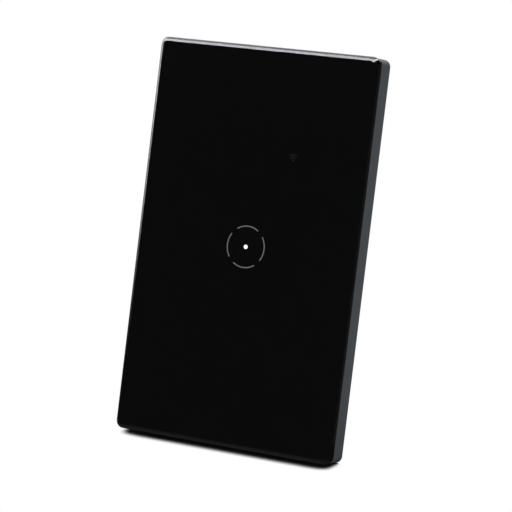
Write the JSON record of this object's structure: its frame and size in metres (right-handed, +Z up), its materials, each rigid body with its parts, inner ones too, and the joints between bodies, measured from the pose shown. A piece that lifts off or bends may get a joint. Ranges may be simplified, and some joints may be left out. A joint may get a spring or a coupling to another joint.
{
  "type": "smart light switch",
  "caption": "Upright wall-box touch switch with a bevelled black glass front on a grey frame, a lit touch ring, and a rear housing with screw terminals.",
  "frame": {"origin": "centre of the mounting plate's rear face, on the wall plane", "axes": "+Z up, +Y into the wall and -Y out of the front, +X to the right as seen from the front"},
  "size_m": [0.072, 0.0377, 0.118],
  "materials": {
    "glass": "clear tempered glass, polished",
    "black_print": "black screen print",
    "foam_tape": "white foam tape",
    "frame_grey": "satin grey metallic paint",
    "zinc_steel": "zinc-plated sheet steel",
    "screw_steel": "zinc-plated",
    "housing_white": "fine matt moulded",
    "milky": "milky translucent",
    "spring_steel": "bright spring wire",
    "board_green": "solder mask",
    "board_blue": "solder mask",
    "lamp_white": "lamp body",
    "chip_black": "moulded epoxy",
    "tin": "tinned sheet",
    "header_black": "moulded",
    "gold_pin": "gold flash",
    "relay_blue": "moulded",
    "relay_black": "moulded",
    "copper": "enamelled copper wire",
    "iron": "soft iron",
    "blade_copper": "spring copper alloy",
    "ferrite": "sintered ferrite",
    "tape_yellow": "polyester tape",
    "capacitor_yellow": "moulded case",
    "capacitor_black": "shrink sleeve",
    "varistor_blue": "epoxy coat",
    "resistor_green": "lacquer",
    "terminal_grey": "flame-retardant moulding",
    "terminal_brass": "plated brass"
  },
  "bodies": {
    "switch_base": {"mounting_plate": "zinc_steel", "plate_screws": "screw_steel", "base_housing": "housing_white", "inner_cover": "housing_white", "light_guide": "milky", "touch_spring": "spring_steel", "touch_board": "board_green", "board_screws": "screw_steel", "indicator_leds": "lamp_white", "touch_chip": "chip_black", "wifi_board": "board_blue", "wifi_shield": "tin", "header_socket": "header_black", "header_base": "header_black", "header_pins": "gold_pin", "power_board": "board_green", "power_board_screws": "screw_steel", "relay_base": "relay_black", "relay_cover": "relay_blue", "relay_bobbin": "relay_black", "relay_coil": "copper", "relay_core": "iron", "relay_yoke": "iron", "relay_fixed_contact": "blade_copper", "relay_pins": "tin", "transformer_core": "ferrite", "transformer_bobbin": "chip_black", "transformer_winding": "tape_yellow", "film_capacitor": "capacitor_yellow", "electrolytic_capacitors": "capacitor_black", "varistor": "varistor_blue", "fuse_resistor": "resistor_green", "bridge_rectifier": "chip_black", "power_chip": "chip_black", "terminal_bars": "terminal_brass", "terminal_body_1": "terminal_grey", "terminal_body_2": "terminal_grey", "terminal_body_3": "terminal_grey"},
    "front_panel": {"glass_panel": "glass", "printed_film": "black_print", "glass_tape": "foam_tape", "front_frame": "frame_grey"},
    "screw_1": {"terminal_screw_1": "screw_steel"},
    "clamp_1": {"terminal_clamp_1": "terminal_brass"},
    "screw_2": {"terminal_screw_2": "screw_steel"},
    "clamp_2": {"terminal_clamp_2": "terminal_brass"},
    "screw_3": {"terminal_screw_3": "screw_steel"},
    "clamp_3": {"terminal_clamp_3": "terminal_brass"},
    "armature": {"relay_armature": "iron", "relay_contact_blade": "blade_copper"}
  },
  "joints": [
    {"name": "panel_release", "type": "slide", "parent": "switch_base", "child": "front_panel", "axis": [0, -1, 0], "range_m": [0, 0.025], "deforming": ["touch_spring"]},
    {"name": "screw_1_turn", "type": "hinge", "parent": "switch_base", "child": "screw_1", "pos_m": [-0.011, 0.0244, -0.029], "axis": [0, -1, 0], "range_deg": [0, 2160]},
    {"name": "clamp_1_lift", "type": "slide", "parent": "switch_base", "child": "clamp_1", "axis": [0, 1, 0], "range_m": [0, 0.003]},
    {"name": "screw_2_turn", "type": "hinge", "parent": "switch_base", "child": "screw_2", "pos_m": [0, 0.0244, -0.029], "axis": [0, -1, 0], "range_deg": [0, 2160]},
    {"name": "clamp_2_lift", "type": "slide", "parent": "switch_base", "child": "clamp_2", "axis": [0, 1, 0], "range_m": [0, 0.003]},
    {"name": "screw_3_turn", "type": "hinge", "parent": "switch_base", "child": "screw_3", "pos_m": [0.011, 0.0244, -0.029], "axis": [0, -1, 0], "range_deg": [0, 2160]},
    {"name": "clamp_3_lift", "type": "slide", "parent": "switch_base", "child": "clamp_3", "axis": [0, 1, 0], "range_m": [0, 0.003]},
    {"name": "armature_swing", "type": "hinge", "parent": "switch_base", "child": "armature", "pos_m": [-0.00915, 0.0226, -0.0184], "axis": [1, 0, 0], "range_deg": [0, 4], "stiffness_Nm_per_rad": 0.004, "springref_deg": -5.73}
  ],
  "couplings": [
    {"joint": "screw_1_turn", "follows": "clamp_1_lift", "rad_per_m": 12566},
    {"joint": "screw_2_turn", "follows": "clamp_2_lift", "rad_per_m": 12566},
    {"joint": "screw_3_turn", "follows": "clamp_3_lift", "rad_per_m": 12566}
  ]
}
